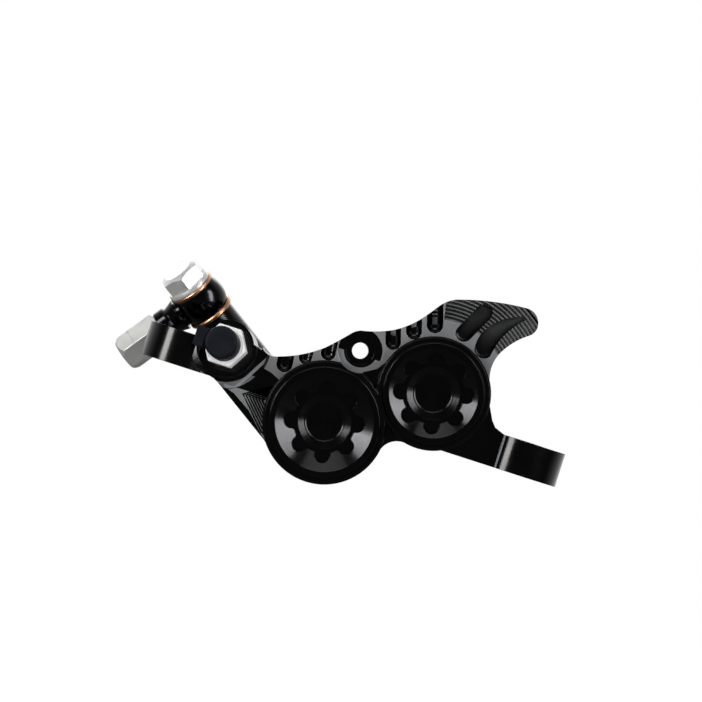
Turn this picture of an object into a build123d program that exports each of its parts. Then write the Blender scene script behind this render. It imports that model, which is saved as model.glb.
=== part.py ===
import os
from math import acos, asin, atan2, cos, degrees, hypot, radians, sin, sqrt, tan

from build123d import *

# Frame: X runs along the line of the two mount holes, Z away from the mount
# face, and Y across the rotor. Outboard is -Y. The origin lies midway between
# the two mount holes, on the mount face. All sizes are in millimetres.

# Post mount
hole_spacing = 74.0
ear_radius = 8.0
ear_height = 7.1
ear_neck_width = 13.0
ear_neck_blend = 3.0
mount_slot_width = 6.4
mount_slot_travel = 2.0

# Rotor that the caliper closes on
rotor_radius = 90.0
rotor_x = 49.45
rotor_z = -64.5
rotor_plane = 13.0
rotor_slot_width = 5.0
rotor_tip_room = 2.0

# Bores and pistons
track_radius = 82.7
bore_spacing = 23.22
pad_angle = 122.65
large_piston_diameter = 18.0
small_piston_diameter = 16.0
piston_length = 8.6
piston_floor = 2.0
piston_wall = 2.4
piston_edge = 0.5
piston_stand_out = 0.85
fluid_gap = 0.45
bore_floor = 2.5
running_fit = 0.04

# Seals: a thin wiper at the mouth of each bore and the pressure seal behind it
pressure_seal_width = 1.7
pressure_seal_depth = 1.5
dust_seal_width = 0.8
dust_seal_depth = 0.8
dust_seal_inset = 0.8
seal_spacing = 0.9
seal_slack = 0.03

# Bore caps
cap_height = 7.5
cap_thread_step = 1.3
cap_flange_step = 1.3
cap_flange_thickness = 1.5
cap_rim_width = 1.42
cap_stand_out = 0.5
cap_dish_angle = 26.0
cap_dish_drop = 0.25
cap_nose_radius = 6.5
cap_nose_height = 1.4
cap_floor_thickness = 1.2
cap_floor_radius = 4.0
cap_cone_radius = 5.5
cap_cone_slope_share = 0.8
cap_chamfer = 0.3
lobe_count = 8
lobe_phase = 14.0
lobe_radius = 1.7
lobe_tip_radius = 8.4
lobe_crest_radius = 6.4
lobe_blend = 0.55
cap_seal_width = 0.8
cap_seal_depth = 0.7
boss_lip = 1.2
boss_chamfer = 0.4
inboard_chamfer = 1.2

# Body faces, as distances that they lie below the outboard boss faces
band_step = 2.5
web_step = 6.5
recess_step = 3.8
arm_step = 3.1
arm_edge_step = 5.4
shoulder_step = 2.4
inboard_band_step = 2.0
inboard_web_step = 4.5
arm_inboard = 18.0
valley_blend = 4.2

# Pads
pad_gap = 4.3
lining_thickness = 2.0
plate_thickness = 1.8
pad_height = 14.9
pad_half_angle = 13.5
pad_side_room = 0.25
pad_corner = 1.6
lining_inset = 0.9
lining_groove = 1.2
pad_tab_width = 5.6
pad_tab_radius = 3.0

# Pad pin hole and the window above the pads
pin_rise = 4.34
pin_angle = 123.09
pin_hole_diameter = 3.4
pin_counterbore_radius = 2.95
pin_counterbore_depth = 1.3
pin_spotface_radius = 4.6
pin_spotface_depth = 0.7
window_half_angle = 8.0

# Pad spring
spring_sheet = 0.45
spring_slack = 0.05
spring_eye_radius = 2.75
spring_arm_height = 1.6
spring_arm_angle = 6.6
spring_neck_width = 3.0

# Top flutes: the centre of each round end, its width, and the lean of its axis
flute_depth = 1.1
flute_lean = 0.3
flute_length = 6.0
flute_widths = [3.3, 2.7, 3.1, 3.2, 3.3, 3.4]
flute_lean_shares = [0.3, 0.2, 0.4, 1.0, 1.0, 1.0]

# Fin
terrace_start = 14.6
terrace_pitch = 0.78
terrace_drop = 0.52
terrace_count = 15
terrace_flat_share = 0.6
terrace_from_angle = 26.0
terrace_to_angle = 100.0
fin_slot_width = 3.5
fin_slot_depth = 7.4

# Terraces on the strut beside the large boss
strut_terrace_count = 7
strut_terrace_drop = 0.4
strut_terrace_pitch = 0.68
strut_terrace_flare = 38.0

# Hose fitting
banjo_x = -36.93
banjo_y = 11.0
banjo_z = 14.37
banjo_lean = 20.0
banjo_rise = 33.9
banjo_radius = 5.3
banjo_flat_radius = 4.6
banjo_half_height = 2.9
banjo_bore_play = 0.1
banjo_groove_depth = 0.7
banjo_groove_width = 2.6
neck_tilt = 36.6
neck_swing = 6.5
neck_radius = 2.9
neck_root_radius = 3.6
neck_root_start = 5.3
neck_root_end = 7.3
neck_collar_radius = 3.45
neck_collar_start = 7.4
neck_length = 10.0
hose_hex = 7.0
connector_length = 6.3
nut_length = 3.7
hose_diameter = 5.0
hose_play = 0.1
hose_socket_depth = 4.0
fluid_hole_radius = 1.0
olive_wall = 0.45
olive_length = 1.7
washer_thickness = 1.0
washer_radius = 5.0
bolt_thread_radius = 3.0
bolt_thread_length = 10.5
bolt_hex = 8.0
bolt_flange_radius = 4.85
bolt_flange_height = 0.9
bolt_head_height = 4.4
bolt_head_slope = 27.0
bolt_crown_radius = 3.2
bolt_hole_room = 1.0
banjo_boss_radius = 4.4
banjo_boss_length = 16.0
thread_fit = 0.04
washer_round = 0.25
nut_lip = 1.0
spigot_length = 0.7
drilling_radius = 0.8
running_gap = 0.3

# Bleed nipple
nipple_x = -28.47
nipple_y = -4.53
nipple_z = 6.72
nipple_lean_x = -0.1055
nipple_lean_z = 0.0609
nipple_hex = 8.0
nipple_hex_height = 4.6
nipple_thread_length = 7.2
nipple_stem_radius = 2.3
nipple_barb_radius = 2.5
nipple_barb_height = 1.4
nipple_stem_height = 5.6
nipple_bore_radius = 0.8
nipple_cone = 1.2
nipple_boss_radius = 5.7
nipple_boss_length = 10.0
nipple_spotface_radius = 6.2
nipple_spotface_flare = 1.0
nipple_spotface_rise = 1.0
nipple_sweep_radius = 8.6
nipple_sweep_flare = 1.1
nipple_sweep_floor = 0.35
nipple_sweep_from_angle = -110.0
nipple_sweep_to_angle = 40.0
hex_sides = 6
hex_chamfer = 0.55

# Rubber cap of the nipple
cap_rubber_radius = 3.4
cap_rubber_top = 0.95
cap_rubber_round = 0.6
cap_rubber_knee_share = 0.3
cap_rubber_gap = 1.15
strap_width = 4.0
strap_thickness = 0.9
strap_reach = 2.2
strap_slack = 0.02

# One overrun for all cuts that leave the metal
overrun = 2.0

# Distances from the rotor plane, the same on both sides
lining_face = pad_gap / 2
plate_face = lining_face + lining_thickness
plate_back = plate_face + plate_thickness
cavity_wall = plate_back + piston_stand_out
piston_back = plate_back + piston_length
chamber_end = piston_back + fluid_gap
slot_wall = rotor_slot_width / 2

# Lateral places
cap_face_y = rotor_plane - chamber_end - cap_height
boss_face_y = cap_face_y + cap_stand_out
band_face_y = boss_face_y + band_step
web_face_y = boss_face_y + web_step
recess_face_y = boss_face_y + recess_step
arm_face_y = boss_face_y + arm_step
arm_edge_y = boss_face_y + arm_edge_step
shoulder_face_y = boss_face_y + shoulder_step
inboard_face_y = rotor_plane + chamber_end + bore_floor
inboard_band_y = inboard_face_y - inboard_band_step
inboard_web_y = inboard_face_y - inboard_web_step
cap_seat_y = cap_face_y + cap_flange_thickness
cap_nose_y = rotor_plane - chamber_end
cap_end_y = cap_nose_y - cap_nose_height

# Radii that follow the pistons
rotor_slot_radius = rotor_radius + rotor_tip_room
large_radius = large_piston_diameter / 2
small_radius = small_piston_diameter / 2


def cap_radius(piston_radius):
    return piston_radius + cap_thread_step + cap_flange_step


def boss_radius(piston_radius):
    return cap_radius(piston_radius) + boss_lip


large_boss = boss_radius(large_radius)
small_boss = boss_radius(small_radius)


# A point at a radius and an angle about the rotor's axis, as (x, z)
def about_rotor(radius, angle):
    return (
        rotor_x + radius * cos(radians(angle)),
        rotor_z + radius * sin(radians(angle)),
    )


bore_half_angle = degrees(asin(bore_spacing / (2 * track_radius)))
small_bore_angle = pad_angle - bore_half_angle
large_bore = about_rotor(track_radius, pad_angle + bore_half_angle)
small_bore = about_rotor(track_radius, small_bore_angle)
pad_inner_radius = track_radius - pad_height / 2 - pad_side_room
pad_outer_radius = pad_inner_radius + pad_height
pin_radius_from_rotor = pad_outer_radius + pin_rise
pin_centre = about_rotor(pin_radius_from_rotor, pin_angle)
cavity_side_angle = pad_side_room / radians(track_radius)
cavity_foot_radius = track_radius - large_boss - overrun
spring_foot_radius = pad_outer_radius - lining_inset + spring_slack
spring_top_radius = pin_radius_from_rotor + pad_tab_radius - spring_slack
cap_cone_depth = (cap_cone_radius - cap_floor_radius) * cap_cone_slope_share
lobe_corner_radius = lobe_tip_radius - lobe_radius / 2


# Seal grooves, as (near wall, far wall, depth) from the rotor plane outwards
dust_seal_near = cavity_wall + dust_seal_inset
pressure_seal_near = dust_seal_near + dust_seal_width + seal_spacing
seal_places = [
    (dust_seal_near, dust_seal_near + dust_seal_width, dust_seal_depth),
    (pressure_seal_near, pressure_seal_near + pressure_seal_width, pressure_seal_depth),
]


# A sketch plane across the rotor's axis, whose normal points outboard
def lateral(station):
    return Plane(origin=(0, station, 0), x_dir=(1, 0, 0), z_dir=(0, -1, 0))


# Points given as shares of a size, from a centre
def placed(centre, size, shares):
    return [(centre[0] + size * x, centre[1] + size * z) for x, z in shares]


# An open run of arcs, each through three points of the list in turn
def arcs(points):
    for start, middle, end in zip(points[0::2], points[1::2], points[2::2]):
        ThreePointArc(start, middle, end)


# A round bar or hole between two lateral stations
def lateral_round(centre, radius, outboard, inboard, mode=Mode.ADD):
    with BuildSketch(lateral(inboard)) as face:
        with Locations(centre):
            Circle(radius)
    extrude(face.sketch, amount=inboard - outboard, mode=mode)


# A straight-sided plate between two lateral stations, that may flare outboard
def lateral_plate(points, outboard, inboard, mode=Mode.ADD, flare=0.0):
    with BuildSketch(lateral(inboard)) as face:
        with BuildLine():
            Polyline(*points, close=True)
        make_face()
    extrude(face.sketch, amount=inboard - outboard, taper=-flare, mode=mode)


# A turned form: the outline is a list of (radius, distance along the axis)
def turned(axis, outline, mode=Mode.ADD, arc=360.0, start=(1, 0, 0)):
    along = axis.direction
    across = Vector(*start) - along * along.dot(Vector(*start))
    across = across.normalized()
    side = Plane(origin=axis.position, x_dir=across, z_dir=across.cross(along))
    with BuildSketch(side) as face:
        with BuildLine():
            Polyline(*outline, close=True)
        make_face()
    revolve(face.sketch, axis=axis, revolution_arc=arc, mode=mode)


# A plane square to a direction, a distance along it from a point
def square_to(origin, direction, distance, x_dir):
    place = Vector(*origin) + Vector(*direction) * distance
    return Plane(origin=place, x_dir=x_dir, z_dir=direction)


# A round or a hexagon raised from a plane
def raised_round(plane, radius, length, mode=Mode.ADD):
    with BuildSketch(plane) as face:
        Circle(radius)
    extrude(face.sketch, amount=length, mode=mode)


def raised_hex(plane, across_flats, length, mode=Mode.ADD):
    with BuildSketch(plane) as face:
        RegularPolygon(across_flats / 2, hex_sides, major_radius=False)
    extrude(face.sketch, amount=length, mode=mode)


def corner_radius(across_flats):
    return across_flats / 2 / cos(radians(180 / hex_sides))


# A drilling between two points in space
def drilled(start, end, radius):
    run = Vector(*end) - Vector(*start)
    plane = Plane(origin=start, z_dir=run.normalized())
    with BuildSketch(plane) as face:
        Circle(radius)
    extrude(face.sketch, amount=run.length, mode=Mode.SUBTRACT)


# The edges of a sector of a ring about the rotor's axis
def sector_edges(inner, outer, half_angle, middle):
    low, high = middle - half_angle, middle + half_angle
    with BuildLine() as outline:
        ThreePointArc(*[about_rotor(inner, turn) for turn in (low, middle, high)])
        Line(about_rotor(inner, high), about_rotor(outer, high))
        ThreePointArc(*[about_rotor(outer, turn) for turn in (high, middle, low)])
        Line(about_rotor(outer, low), about_rotor(inner, low))
    return outline.edges()


# The point where a fillet touches two rounds, and its own middle
def round_blend(first, first_radius, second, second_radius, blend):
    gap_x = second[0] - first[0]
    gap_z = second[1] - first[1]
    gap = hypot(gap_x, gap_z)
    far_one = first_radius + blend
    far_two = second_radius + blend
    along = (far_one**2 - far_two**2 + gap**2) / (2 * gap)
    off = sqrt(far_one**2 - along**2)
    unit = (gap_x / gap, gap_z / gap)
    centre = (
        first[0] + unit[0] * along + unit[1] * off,
        first[1] + unit[1] * along - unit[0] * off,
    )
    touch_one = (
        first[0] + (centre[0] - first[0]) * first_radius / far_one,
        first[1] + (centre[1] - first[1]) * first_radius / far_one,
    )
    touch_two = (
        second[0] + (centre[0] - second[0]) * second_radius / far_two,
        second[1] + (centre[1] - second[1]) * second_radius / far_two,
    )
    middle = (centre[0] - unit[1] * blend, centre[1] + unit[0] * blend)
    return touch_one, middle, touch_two


# Shape of the body seen from outboard. The upper edge runs left to right as
# arcs, first about the large bore and then about the small one and the fin.
band_edge_shares = [
    (-1.313, 0.830), (-1.180, 0.756), (-1.023, 0.780), (-0.680, 0.928),
    (-0.352, 1.151), (-0.195, 1.309), (-0.039, 1.479), (0.023, 1.538),
    (0.102, 1.582), (0.352, 1.647), (0.586, 1.745),
]
fin_edge_shares = [
    (-1.021, 0.830), (-0.775, 1.000), (-0.564, 1.216), (-0.461, 1.353),
    (-0.352, 1.508), (-0.242, 1.614), (-0.089, 1.695), (0.419, 1.831),
    (1.097, 1.924), (1.318, 1.843), (1.394, 1.678), (1.356, 1.542),
    (1.267, 1.458), (1.055, 1.263), (0.903, 1.051), (0.822, 0.754),
    (0.886, 0.458), (0.930, 0.299), (0.979, 0.136),
]
band_foot_shares = [(-1.055, 0.495), (-1.328, 0.549)]

band_edge = placed(large_bore, large_boss, band_edge_shares)
fin_edge = placed(small_bore, small_boss, fin_edge_shares)
band_foot = placed(large_bore, large_boss, band_foot_shares)

# Left arm: its foot and its upper side, about the left mount hole
left_hole = (-hole_spacing / 2, 0)
right_hole = (hole_spacing / 2, 0)
arm_foot_shares = [(0.875, 0.0), (1.0, -0.03), (1.125, -0.1)]
arm_top_shares = [(1.95, 1.05), (1.45, 1.19), (0.85, 1.0), (0.375, 0.8875)]
arm_join_shares = [(-0.781, -0.615), (0.0, 0.0), (-0.85, 0.52)]
shoulder_shares = [(-2.1, 0.0), (-0.6875, 0.0)]
shoulder_curve_shares = [(-0.96, 0.99), (-1.09, 1.14)]

# The two pockets between the bosses, about the small bore
recess_shares = [
    (-1.29, -0.03), (-1.06, 0.11), (-0.97, 0.245), (-0.89, 0.41),
    (-0.5, 0.3), (-0.6, -0.3), (-1.1, -0.27),
]
deep_shares = [(-1.1, -0.2), (-0.9, -0.17), (-0.5, -0.3), (-0.8, -0.62), (-1.1, -0.45)]

# Round ends of the flutes, about the large bore and then the small one
left_flute_shares = [(-0.898, 0.690), (-0.609, 0.893), (-0.281, 1.080)]
right_flute_shares = [(-0.945, 0.636), (-0.657, 0.924), (-0.343, 1.144)]

# Fin slots, about the small bore
straight_slot_shares = [(0.183, 1.161), (0.419, 1.619)]
curved_slot_shares = [
    (0.437, 0.960), (0.530, 1.360), (0.846, 1.650), (1.110, 1.775),
    (1.165, 1.724), (0.930, 1.450), (0.741, 0.920), (0.600, 0.840),
]

# Strut, about the large bore: the first terrace, whose apex comes second, and
# the lower strip that lies below the rib
strut_terrace_shares = [(-1.016, 0.252), (-1.367, 0.025), (-0.914, -0.452)]
strut_inner_shares = [(-0.3, -0.452), (-0.3, 0.252)]
strut_strip_shares = [
    (-1.98, 0.127), (-1.523, -0.006), (-1.211, -0.202), (-0.977, -0.428),
    (-0.820, -0.592), (-0.586, -0.952), (-2.07, -0.327),
]

# Banjo axes: the bolt's axis points at its head, the neck leaves square to it
banjo_centre = (banjo_x, banjo_y, banjo_z)
bolt_direction = Vector(
    -cos(radians(banjo_lean)) * cos(radians(banjo_rise)),
    -sin(radians(banjo_lean)),
    cos(radians(banjo_lean)) * sin(radians(banjo_rise)),
)
neck_guess = Vector(
    -sin(radians(neck_tilt)), sin(radians(neck_swing)), -cos(radians(neck_tilt))
)
neck_direction = (
    neck_guess - bolt_direction * bolt_direction.dot(neck_guess)
).normalized()
bolt_axis = Axis(banjo_centre, bolt_direction)
neck_axis = Axis(banjo_centre, neck_direction)
bolt_seat = banjo_half_height + washer_thickness
bolt_tip = bolt_seat + bolt_thread_length

# Nipple axis
nipple_seat = (nipple_x, nipple_y, nipple_z)
nipple_direction = Vector(
    nipple_lean_x, -sqrt(1 - nipple_lean_x**2 - nipple_lean_z**2), nipple_lean_z
)
nipple_axis = Axis(nipple_seat, nipple_direction)
nipple_tip = nipple_thread_length + nipple_cone
nipple_stem_top = nipple_hex_height + nipple_stem_height

# Fluid drillings, from the end of one hole to the next
chamber_y = cap_nose_y - drilling_radius / 2
inboard_chamber_y = rotor_plane + chamber_end - drilling_radius / 2
inlet_end = tuple(Vector(*banjo_centre) - bolt_direction * bolt_tip)
bleed_end = tuple(Vector(*nipple_seat) - nipple_direction * nipple_thread_length)
bridge_top = about_rotor(rotor_slot_radius + small_boss / 2, small_bore_angle)
drillings = [
    (inlet_end, (large_bore[0] - large_radius, chamber_y, large_bore[1])),
    (bleed_end, (large_bore[0] - large_radius, chamber_y, large_bore[1])),
    ((large_bore[0], chamber_y, large_bore[1]), (small_bore[0], chamber_y, small_bore[1])),
    ((small_bore[0], chamber_y, small_bore[1]), (bridge_top[0], rotor_plane, bridge_top[1])),
    ((small_bore[0], inboard_chamber_y, small_bore[1]),
     (bridge_top[0], rotor_plane, bridge_top[1])),
    ((large_bore[0], inboard_chamber_y, large_bore[1]),
     (small_bore[0], inboard_chamber_y, small_bore[1])),
]


# An ear of the post mount, drawn in plan and reaching inwards to the body
def mount_ear(centre_x, inner_x):
    side = 1 if centre_x > 0 else -1
    half = ear_neck_width / 2
    blend_out = sqrt((ear_radius + ear_neck_blend) ** 2 - (half + ear_neck_blend) ** 2)
    touch = ear_radius / (ear_radius + ear_neck_blend)
    blend_x = centre_x - side * blend_out
    blend_y = half + ear_neck_blend
    turn = acos((half + ear_neck_blend) / (ear_radius + ear_neck_blend)) / 2
    touch_x = centre_x - side * blend_out * touch
    touch_y = blend_y * touch
    mid_x = blend_x + side * ear_neck_blend * sin(turn)
    mid_y = blend_y - ear_neck_blend * cos(turn)
    with BuildSketch(Plane.XY) as plan:
        with BuildLine():
            ThreePointArc(
                (touch_x, touch_y), (centre_x + side * ear_radius, 0), (touch_x, -touch_y)
            )
            ThreePointArc((touch_x, -touch_y), (mid_x, -mid_y), (blend_x, -half))
            Polyline((blend_x, -half), (inner_x, -half), (inner_x, half), (blend_x, half))
            ThreePointArc((blend_x, half), (mid_x, mid_y), (touch_x, touch_y))
        make_face()
    extrude(plan.sketch, amount=ear_height)


os.makedirs("parts", exist_ok=True)

# Body
with BuildPart() as caliper_body:
    # Side walls and bridge as one block, up to the flat outboard band
    with BuildSketch(lateral(inboard_band_y)):
        with BuildLine():
            arcs(band_edge)
            Line(band_edge[-1], fin_edge[0])
            arcs(fin_edge)
            Polyline(fin_edge[-1], small_bore, large_bore, *band_foot, band_edge[0])
        make_face()
    extrude(amount=inboard_band_y - band_face_y)

    # Terraces that fall away towards the tip of the fin, on both sides
    for face_y, way in ((band_face_y, 1), (inboard_band_y, -1)):
        fin_axis = Axis((small_bore[0], face_y, small_bore[1]), (0, way, 0))
        stair = [(terrace_start + terrace_pitch, -overrun)]
        for step in range(1, terrace_count):
            edge = terrace_start + step * terrace_pitch
            stair += [(edge, step * terrace_drop),
                      (edge + terrace_pitch * terrace_flat_share, step * terrace_drop)]
        stair += [(stair[-1][0] + overrun, stair[-1][1]), (stair[-1][0] + overrun, -overrun)]
        start = (cos(radians(terrace_to_angle)), 0, sin(radians(terrace_to_angle)))
        sweep = terrace_to_angle - terrace_from_angle
        turned(fin_axis, stair, Mode.SUBTRACT, arc=sweep * way, start=start)

    # Pockets between the bosses
    lateral_plate(placed(small_bore, small_boss, recess_shares),
                  band_face_y - overrun, recess_face_y, Mode.SUBTRACT)
    lateral_plate(placed(small_bore, small_boss, deep_shares),
                  band_face_y - overrun, web_face_y, Mode.SUBTRACT)

    # Left arm, from the left ear to the large boss
    arm_points = (
        placed(left_hole, ear_radius, arm_foot_shares)
        + placed(large_bore, large_boss, arm_join_shares)
        + placed(left_hole, ear_radius, arm_top_shares)
    )
    lateral_plate(arm_points, arm_face_y, arm_inboard)

    # Terraces that step down into the strut, and the strip below its rib
    terrace = placed(large_bore, large_boss, strut_terrace_shares)
    inner = placed(large_bore, large_boss, strut_inner_shares)
    for step in range(strut_terrace_count):
        shift = step * strut_terrace_pitch
        depth = (step + 1) * strut_terrace_drop
        lateral_plate([(x + shift, z) for x, z in terrace] + inner,
                      arm_face_y - overrun, arm_face_y + depth, Mode.SUBTRACT,
                      flare=strut_terrace_flare)
    lateral_plate(placed(large_bore, large_boss, strut_strip_shares),
                  arm_face_y - overrun, arm_edge_y, Mode.SUBTRACT)

    # Right shoulder, from the right ear to the small boss
    shoulder_points = placed(right_hole, ear_radius, shoulder_shares)
    with BuildSketch(lateral(ear_neck_width / 2)):
        with BuildLine():
            Polyline(*shoulder_points, (shoulder_points[-1][0], ear_height))
            Polyline((shoulder_points[-1][0], ear_height), *placed(
                right_hole, ear_radius, shoulder_curve_shares), fin_edge[-1])
            Polyline(fin_edge[-1], small_bore, shoulder_points[0])
        make_face()
    extrude(amount=ear_neck_width / 2 - shoulder_face_y)

    # Ears
    mount_ear(right_hole[0], small_bore[0])
    mount_ear(left_hole[0], nipple_x)

    # Bosses of the bores, with a chamfered lip, and the web in the lower valley
    for centre, boss in ((large_bore, large_boss), (small_bore, small_boss)):
        axis = Axis((centre[0], boss_face_y, centre[1]), (0, 1, 0))
        depth = inboard_face_y - boss_face_y
        turned(axis, [
            (0, 0), (boss - boss_chamfer, 0), (boss, boss_chamfer),
            (boss, depth - inboard_chamfer), (boss - inboard_chamfer, depth), (0, depth),
        ])
    touch_one, blend_middle, touch_two = round_blend(
        large_bore, large_boss, small_bore, small_boss, valley_blend
    )
    with BuildSketch(lateral(inboard_web_y)):
        with BuildLine():
            Line(large_bore, touch_one)
            ThreePointArc(touch_one, blend_middle, touch_two)
            Polyline(touch_two, small_bore, large_bore)
        make_face()
    extrude(amount=inboard_web_y - web_face_y)

    # Boss under the hose fitting and boss under the bleed nipple
    raised_round(square_to(banjo_centre, bolt_direction, -bolt_seat - banjo_boss_length,
                           neck_direction), banjo_boss_radius, banjo_boss_length)
    raised_round(square_to(nipple_seat, nipple_direction, -nipple_boss_length, (1, 0, 0)),
                 nipple_boss_radius, nipple_boss_length)

    # Spotface round the nipple, flaring outwards
    flare_radius = nipple_spotface_radius + nipple_spotface_flare
    turned(nipple_axis, [
        (0, 0), (nipple_spotface_radius, 0), (flare_radius, nipple_spotface_rise),
        (flare_radius, nipple_spotface_rise + overrun),
        (0, nipple_spotface_rise + overrun),
    ], Mode.SUBTRACT)

    # Wider sweep of the cutter on the side of the large boss
    sweep_start = radians(nipple_sweep_from_angle)
    sweep_top = nipple_sweep_floor + nipple_sweep_flare
    turned(nipple_axis, [
        (0, nipple_sweep_floor), (nipple_sweep_radius, nipple_sweep_floor),
        (nipple_sweep_radius + nipple_sweep_flare, sweep_top),
        (nipple_sweep_radius + nipple_sweep_flare, sweep_top + overrun),
        (0, sweep_top + overrun),
    ], Mode.SUBTRACT, arc=nipple_sweep_to_angle - nipple_sweep_from_angle,
       start=(cos(sweep_start), 0, sin(sweep_start)))

    # Rotor slot, the pad cavity on each side, and the window above the pads
    lateral_round((rotor_x, rotor_z), rotor_slot_radius,
                  rotor_plane - slot_wall, rotor_plane + slot_wall, Mode.SUBTRACT)
    with BuildSketch(lateral(rotor_plane + cavity_wall)):
        make_face(sector_edges(cavity_foot_radius, pad_outer_radius + pad_side_room,
                               pad_half_angle + cavity_side_angle, pad_angle))
    extrude(amount=2 * cavity_wall, mode=Mode.SUBTRACT)
    with BuildSketch(lateral(rotor_plane + cavity_wall)):
        make_face(sector_edges(pad_outer_radius - overrun,
                               pin_radius_from_rotor + ear_radius,
                               window_half_angle, pin_angle))
    extrude(amount=2 * cavity_wall, mode=Mode.SUBTRACT)

    # Bores: through the outboard side for the caps, blind on the inboard side
    for centre, piston in ((large_bore, large_radius), (small_bore, small_radius)):
        thread = piston + cap_thread_step
        pocket = cap_radius(piston) + thread_fit
        lateral_round(centre, pocket, boss_face_y - overrun, cap_seat_y, Mode.SUBTRACT)
        lateral_round(centre, thread + thread_fit, cap_seat_y - overrun,
                      cap_end_y + running_gap, Mode.SUBTRACT)
        lateral_round(centre, thread + cap_seal_depth, cap_seat_y - overrun,
                      cap_seat_y + cap_seal_width, Mode.SUBTRACT)
        lateral_round(centre, piston + running_fit, cap_end_y, rotor_plane, Mode.SUBTRACT)
        lateral_round(centre, piston + running_fit, rotor_plane,
                      rotor_plane + chamber_end, Mode.SUBTRACT)
        for side in (-1, 1):
            for near, far, depth in seal_places:
                stations = sorted((rotor_plane + side * near, rotor_plane + side * far))
                lateral_round(centre, piston + depth, *stations, Mode.SUBTRACT)

    # Pad pin hole through both walls, with its spotface and counterbore
    lateral_round(pin_centre, pin_hole_diameter / 2, boss_face_y, inboard_face_y,
                  Mode.SUBTRACT)
    lateral_round(pin_centre, pin_spotface_radius, boss_face_y,
                  band_face_y + pin_spotface_depth, Mode.SUBTRACT)
    lateral_round(pin_centre, pin_counterbore_radius, boss_face_y,
                  band_face_y + pin_spotface_depth + pin_counterbore_depth, Mode.SUBTRACT)

    # Slots of the post mount, longer across the rotor than along the hole line
    with BuildSketch(Plane.XY.offset(-overrun)):
        with Locations(left_hole, right_hole):
            SlotOverall(mount_slot_width + mount_slot_travel, mount_slot_width, rotation=90)
    extrude(amount=ear_height + 2 * overrun, mode=Mode.SUBTRACT)

    # Flutes along the upper edge, each a round-ended groove open at the top
    flute_centres = placed(large_bore, large_boss, left_flute_shares) + placed(
        small_bore, small_boss, right_flute_shares
    )
    flute_leans = [flute_lean * share for share in flute_lean_shares]
    for centre, width, lean in zip(flute_centres, flute_widths, flute_leans):
        rise = Vector(-sin(lean), 0, cos(lean))
        across = Vector(cos(lean), 0, sin(lean))
        foot = Plane(origin=(centre[0], band_face_y + flute_depth, centre[1]),
                     x_dir=across, z_dir=rise)
        with Locations(foot):
            Cylinder(width / 2, flute_length, mode=Mode.SUBTRACT,
                     align=(Align.CENTER, Align.CENTER, Align.MIN))
            Sphere(width / 2, mode=Mode.SUBTRACT)
        with BuildSketch(Plane(origin=(centre[0], band_face_y + flute_depth, centre[1]),
                               x_dir=across, z_dir=(0, -1, 0))):
            Circle(width / 2)
            with Locations((0, flute_length / 2)):
                Rectangle(width, flute_length)
        extrude(amount=flute_depth + overrun, mode=Mode.SUBTRACT)

    # Slots in the fin, one straight and one curved
    slot_ends = placed(small_bore, small_boss, straight_slot_shares)
    slot_run = (slot_ends[1][0] - slot_ends[0][0], slot_ends[1][1] - slot_ends[0][1])
    with BuildSketch(lateral(band_face_y + fin_slot_depth)):
        with Locations((slot_ends[0][0] + slot_run[0] / 2, slot_ends[0][1] + slot_run[1] / 2)):
            SlotCenterToCenter(hypot(*slot_run), fin_slot_width,
                               rotation=degrees(atan2(slot_run[1], slot_run[0])))
        with BuildLine():
            curve = placed(small_bore, small_boss, curved_slot_shares)
            Spline(*curve[0:4])
            Line(curve[3], curve[4])
            Spline(*curve[4:7])
            ThreePointArc(curve[6], curve[7], curve[0])
        make_face()
    extrude(amount=fin_slot_depth + overrun, mode=Mode.SUBTRACT)

    # Threaded holes for the hose fitting's bolt and the bleed nipple
    raised_round(square_to(banjo_centre, bolt_direction, -bolt_tip - bolt_hole_room,
                           neck_direction), bolt_thread_radius + thread_fit,
                 bolt_tip + bolt_hole_room, Mode.SUBTRACT)
    raised_round(square_to(nipple_seat, nipple_direction, -nipple_tip, (1, 0, 0)),
                 bolt_thread_radius + thread_fit, nipple_tip + overrun, Mode.SUBTRACT)

    # Fluid drillings: inlet, bleed, from bore to bore, and over the bridge
    for start, end in drillings:
        drilled(start, end, drilling_radius)
caliper_body.part.label = "caliper_body"
export_step(caliper_body.part, "parts/caliper_body.step")


# Bore caps, screwed in from outboard, with a lobed socket for the tool
def bore_cap(centre, piston):
    face = 0
    seat = cap_flange_thickness
    end = cap_height - cap_nose_height
    dish = (cap_radius(piston) - cap_rim_width, cap_dish_drop)
    crest_drop = cap_dish_drop + (dish[0] - lobe_crest_radius) * tan(radians(cap_dish_angle))
    floor = end - cap_floor_thickness
    axis = Axis((centre[0], cap_face_y, centre[1]), (0, 1, 0))
    with BuildPart() as cap:
        turned(axis, [
            (0, crest_drop), (lobe_crest_radius, crest_drop), dish, (dish[0], face),
            (cap_radius(piston) - cap_chamfer, face), (cap_radius(piston), cap_chamfer),
            (cap_radius(piston), seat), (piston + cap_thread_step, seat),
            (piston + cap_thread_step, end), (cap_nose_radius, end),
            (cap_nose_radius, cap_height), (0, cap_height),
        ])
        with BuildSketch(lateral(cap_face_y + floor)) as socket:
            with Locations(centre):
                Circle(lobe_crest_radius)
                with PolarLocations(lobe_tip_radius - lobe_radius, lobe_count,
                                    start_angle=lobe_phase):
                    Circle(lobe_radius)
            fillet(socket.vertices().filter_by(
                lambda v: hypot(v.X - centre[0], v.Z - centre[1]) < lobe_corner_radius
            ), lobe_blend)
        extrude(amount=floor + overrun, mode=Mode.SUBTRACT)
        turned(axis, [
            (0, floor - overrun), (cap_cone_radius, floor - overrun),
            (cap_cone_radius, floor), (cap_floor_radius, floor + cap_cone_depth),
            (0, floor + cap_cone_depth),
        ], Mode.SUBTRACT)
    return cap.part


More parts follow.
